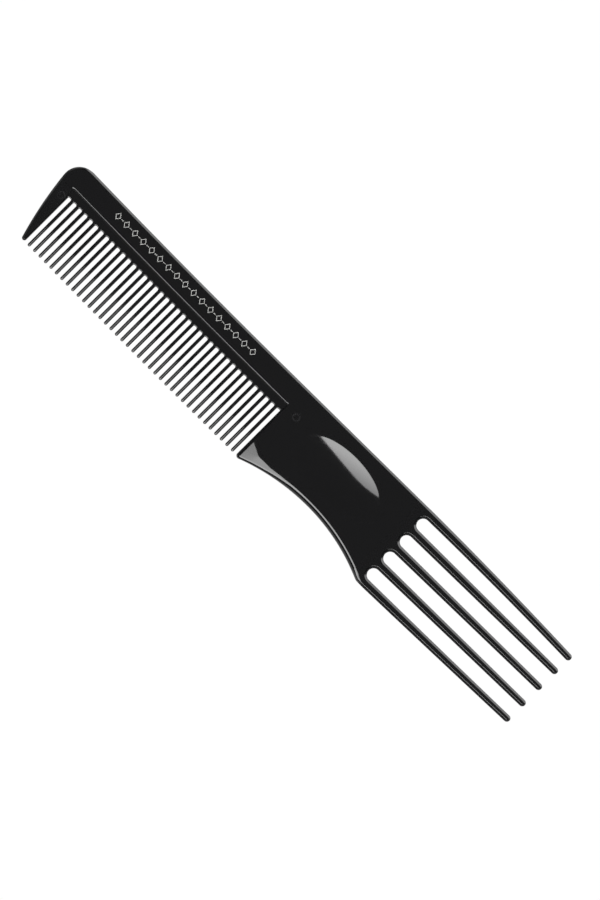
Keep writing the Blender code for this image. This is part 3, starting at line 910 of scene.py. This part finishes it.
# the softbox is a flat glowing sheet: its slopes times its height, turned with the view
def makeSoftbox():
    turn = math.radians(view["turn"])
    right = np.array([math.cos(turn), math.sin(turn), 0.0])
    up = np.array([-math.sin(turn), math.cos(turn), 0.0])
    slopes = np.array(softbox["corners"])
    corners = softbox["height"] * (slopes[:, :1] * right + slopes[:, 1:] * up + np.array([0.0, 0.0, 1.0]))
    mesh = bpy.data.meshes.new("softbox")
    mesh.from_pydata(corners.tolist(), [], [tuple(range(len(corners)))])
    material = bpy.data.materials.new("softboxCloth")
    material.use_nodes = True
    tree = material.node_tree
    tree.nodes.clear()
    place = addNode(tree, "ShaderNodeTexCoord")
    upward = addNode(tree, "ShaderNodeVectorMath", {"operation": "DOT_PRODUCT", 1: up / softbox["height"]},
                     {0: place.outputs["Object"]})
    top = slopes[1, 1]
    fade = addNode(tree, "ShaderNodeMapRange",
                   {"From Min": top, "From Max": top - softbox["fadeSlope"],
                    "To Min": softbox["edgeRadiance"], "To Max": softbox["radiance"]},
                   {"Value": upward.outputs["Value"]})
    glow = addNode(tree, "ShaderNodeEmission", {}, {"Strength": fade.outputs["Result"]})
    addNode(tree, "ShaderNodeOutputMaterial", {}, {"Surface": glow.outputs["Emission"]})
    mesh.materials.append(material)
    panel = bpy.data.objects.new("softbox", mesh)
    bpy.context.scene.collection.objects.link(panel)
    panel.visible_camera = False


room = {
    "overhead": 0.03,
    "belowTable": 0.9,
    "sideGlow": 4.4,         # a bright wall low down on the spine's side
    "glowTurn": 76.0,        # the middle of that wall, degrees from +X
    "glowHalfTurn": 35.0,
    "glowTop": 0.27,         # how far above the horizon it reaches, as a sine
    "ceilingRadiance": 0.1,
}


# the room, by direction: dark overhead, paler under the table's edge, and the low bright wall
def makeRoom():
    world = bpy.data.worlds.new("room")
    world.use_nodes = True
    tree = world.node_tree
    tree.nodes.clear()
    direction = addNode(tree, "ShaderNodeTexCoord").outputs["Generated"]
    height = addNode(tree, "ShaderNodeSeparateXYZ", {}, {0: direction}).outputs["Z"]
    level = addNode(tree, "ShaderNodeVectorMath", {"operation": "MULTIPLY", 1: (1.0, 1.0, 0.0)},
                    {0: direction})
    level = addNode(tree, "ShaderNodeVectorMath", {"operation": "NORMALIZE"}, {0: level.outputs["Vector"]})
    turn, halfTurn = math.radians(room["glowTurn"]), math.radians(room["glowHalfTurn"])
    facing = addNode(tree, "ShaderNodeVectorMath",
                     {"operation": "DOT_PRODUCT", 1: (math.cos(turn), math.sin(turn), 0.0)},
                     {0: level.outputs["Vector"]})
    smooth = {"interpolation_type": "SMOOTHSTEP"}
    wide = addNode(tree, "ShaderNodeMapRange",
                   {**smooth, "From Min": math.cos(halfTurn * 1.3), "From Max": math.cos(halfTurn * 0.7)},
                   {"Value": facing.outputs["Value"]})
    low = addNode(tree, "ShaderNodeMapRange",
                  {**smooth, "From Min": room["glowTop"], "From Max": room["glowTop"] - 0.06},
                  {"Value": height})
    dimmer = addNode(tree, "ShaderNodeMapRange",
                     {"From Min": -1.0, "From Max": 0.0, "To Min": 1.0, "To Max": room["sideGlow"]},
                     {"Value": height})
    glow = addNode(tree, "ShaderNodeMath", {"operation": "MULTIPLY"},
                   {0: wide.outputs["Result"], 1: low.outputs["Result"]})
    glow = addNode(tree, "ShaderNodeMath", {"operation": "MULTIPLY"},
                   {0: glow.outputs[0], 1: dimmer.outputs["Result"]})
    base = addNode(tree, "ShaderNodeMapRange",
                   {**smooth, "From Min": -0.05, "From Max": 0.25,
                    "To Min": room["belowTable"], "To Max": room["overhead"]},
                   {"Value": height})
    total = addNode(tree, "ShaderNodeMath", {"operation": "ADD"},
                    {0: glow.outputs[0], 1: base.outputs["Result"]})
    seen = addNode(tree, "ShaderNodeLightPath").outputs["Is Camera Ray"]
    total = addNode(tree, "ShaderNodeMath", {"operation": "MAXIMUM"}, {0: total.outputs[0], 1: seen})
    background = addNode(tree, "ShaderNodeBackground", {}, {"Strength": total.outputs[0]})
    addNode(tree, "ShaderNodeOutputWorld", {}, {"Surface": background.outputs["Background"]})
    bpy.context.scene.world = world


def makeCeiling():
    light = bpy.data.lights.new("ceiling", "AREA")
    light.shape = "SQUARE"
    light.size = 3.0
    light.energy = room["ceilingRadiance"] * light.size ** 2 * 4
    item = bpy.data.objects.new("ceiling", light)
    item.location = (0.0, 0.0, 2.4)
    item.visible_camera = False
    bpy.context.scene.collection.objects.link(item)
    bpy.context.scene.view_settings.view_transform = "Standard"


makeFloor()
makeCamera()
makeSoftbox()
makeRoom()
makeCeiling()
print("stage ready")
blackPlastic = mouldedBlackPlastic()
makeSpineBar(blackPlastic)
makeToothBand(blackPlastic)
makeEndGuard(blackPlastic)
makeTeeth(blackPlastic)
makeHandle(blackPlastic)
makeFork(blackPlastic)
makePrinting(whitePrintInk())
print("comb built")
